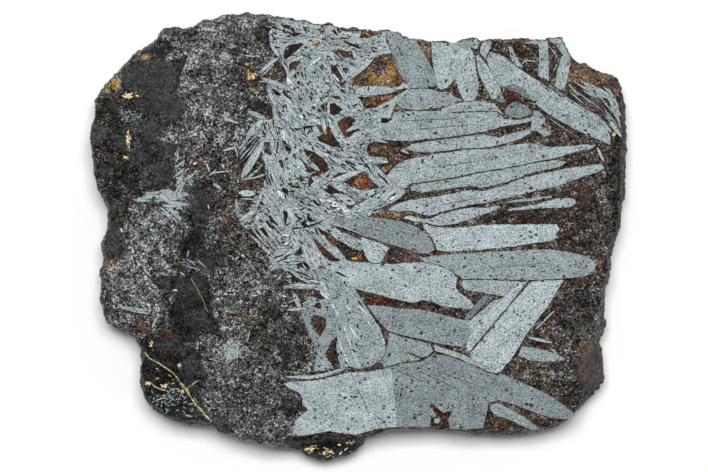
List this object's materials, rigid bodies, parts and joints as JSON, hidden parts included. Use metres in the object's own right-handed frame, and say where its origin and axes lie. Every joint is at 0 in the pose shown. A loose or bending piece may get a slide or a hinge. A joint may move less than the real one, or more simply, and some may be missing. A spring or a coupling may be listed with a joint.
{
  "type": "polished ore slab of bladed hematite in magnetite matrix",
  "caption": "Flat sawn slab of dark granular ore with fans of grey metallic blades on its polished face, hollows between the blades, and rough broken edges.",
  "frame": {"origin": "middle of the slab's outline, on the plane of its sawn back, which is what it rests on", "axes": "+Z out of the polished face; +X along the slab's longest side, towards the fans of broad blades; +Y towards the edge that is uppermost in the picture"},
  "size_m": [0.135, 0.1122, 0.0155],
  "materials": {
    "ore": null
  },
  "bodies": {
    "root": {"slab": "ore"}
  },
  "joints": []
}
